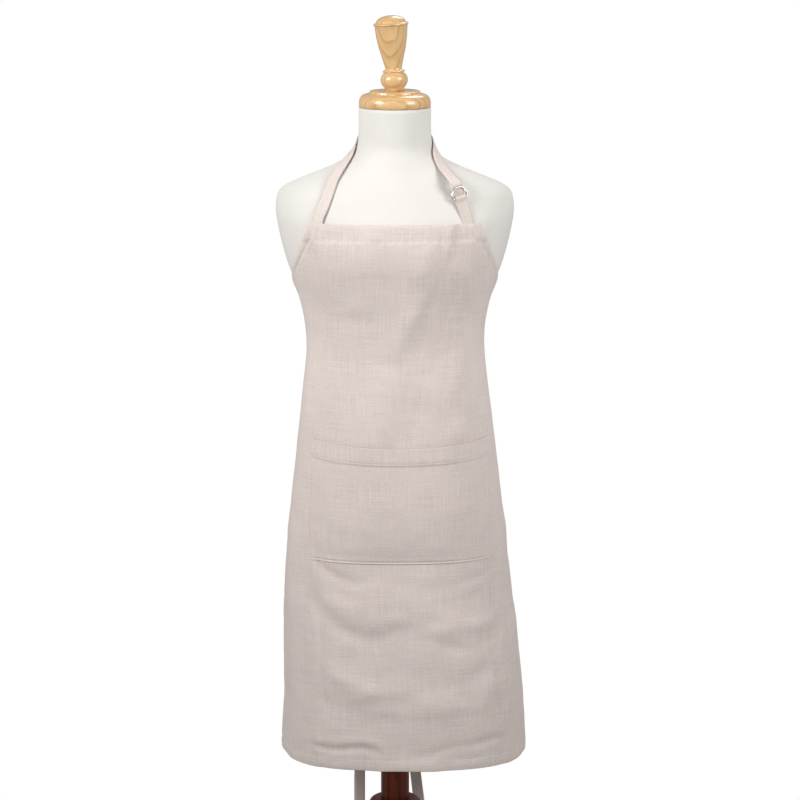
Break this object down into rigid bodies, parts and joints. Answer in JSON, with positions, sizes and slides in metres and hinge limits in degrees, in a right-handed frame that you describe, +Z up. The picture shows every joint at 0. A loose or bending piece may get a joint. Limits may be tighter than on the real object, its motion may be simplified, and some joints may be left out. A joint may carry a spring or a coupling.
{
  "type": "bib apron on a dress form",
  "caption": "Plain bib apron with a wide front pocket, worn and tied on a jersey-covered dress form with a turned wooden cap and a height-adjustable stand.",
  "frame": {"origin": "centre of the foot on the floor, under the pole's axis", "axes": "+Z up along the pole, -Y the apron's front, +X towards the side with the strap rings"},
  "size_m": [0.4, 0.4, 1.61],
  "materials": {
    "felt": "pressed wool felt",
    "ballast": "matt black enamel on steel plate",
    "steel": "bright zinc",
    "dark_wood": "turned hardwood, reddish brown stain, satin lacquer",
    "light_wood": "turned maple, clear gloss lacquer",
    "board": "plain birch plywood",
    "brass": "plain",
    "nylon": "natural nylon",
    "socket_paint": "black powder coat",
    "shell": "moulded, unpainted",
    "jersey": "off-white cotton jersey, stretched",
    "linen": "plain-weave natural linen-cotton cloth",
    "ring_steel": "nickel-plated wire"
  },
  "bodies": {
    "stand": {"felt_pad": "felt", "ballast_plate": "ballast", "ballast_screws": "steel", "base_disc": "dark_wood", "column_bolt": "steel", "column": "dark_wood", "column_head": "dark_wood", "clamp_insert": "brass"},
    "clamp_pad": {"clamp_pad": "nylon"},
    "clamp": {"clamp_stud": "steel", "clamp_knob": "dark_wood"},
    "pole": {"pole": "dark_wood", "swivel_washer": "nylon"},
    "form": {"pole_socket": "socket_paint", "socket_screws": "steel", "bottom_board": "board", "torso_shell": "shell", "form_cover": "jersey", "neck_block": "board", "neck_cap": "light_wood", "finial_stud": "steel", "finial": "light_wood", "apron_panel": "linen", "pocket": "linen", "neck_strap": "linen", "ring_strap": "linen", "d_ring_rear": "ring_steel", "waist_tie_left": "linen", "waist_tie_right": "linen", "tie_bow": "linen", "tie_tail_left": "linen", "tie_tail_right": "linen"},
    "front_ring": {"d_ring_front": "ring_steel"}
  },
  "joints": [
    {"name": "height_slide", "type": "slide", "parent": "stand", "child": "pole", "axis": [0, 0, 1], "range_m": [0, 0.2]},
    {"name": "form_swivel", "type": "hinge", "parent": "pole", "child": "form", "pos_m": [0, 0, 0.742], "axis": [0, 0, 1], "continuous": true},
    {"name": "pad_travel", "type": "slide", "parent": "stand", "child": "clamp_pad", "axis": [1, 0, 0], "range_m": [0, 0.00125]},
    {"name": "knob_turn", "type": "hinge", "parent": "clamp_pad", "child": "clamp", "pos_m": [0.05, 0, 0.385], "axis": [1, 0, 0], "range_deg": [0, 360]},
    {"name": "front_ring_lift", "type": "hinge", "parent": "form", "child": "front_ring", "pos_m": [0.09465, -0.08993, 1.3564], "axis": [0.8799, 0.4154, 0.2305], "range_deg": [0, 60]}
  ],
  "couplings": [
    {"joint": "knob_turn", "follows": "pad_travel", "rad_per_m": 5026.5}
  ]
}
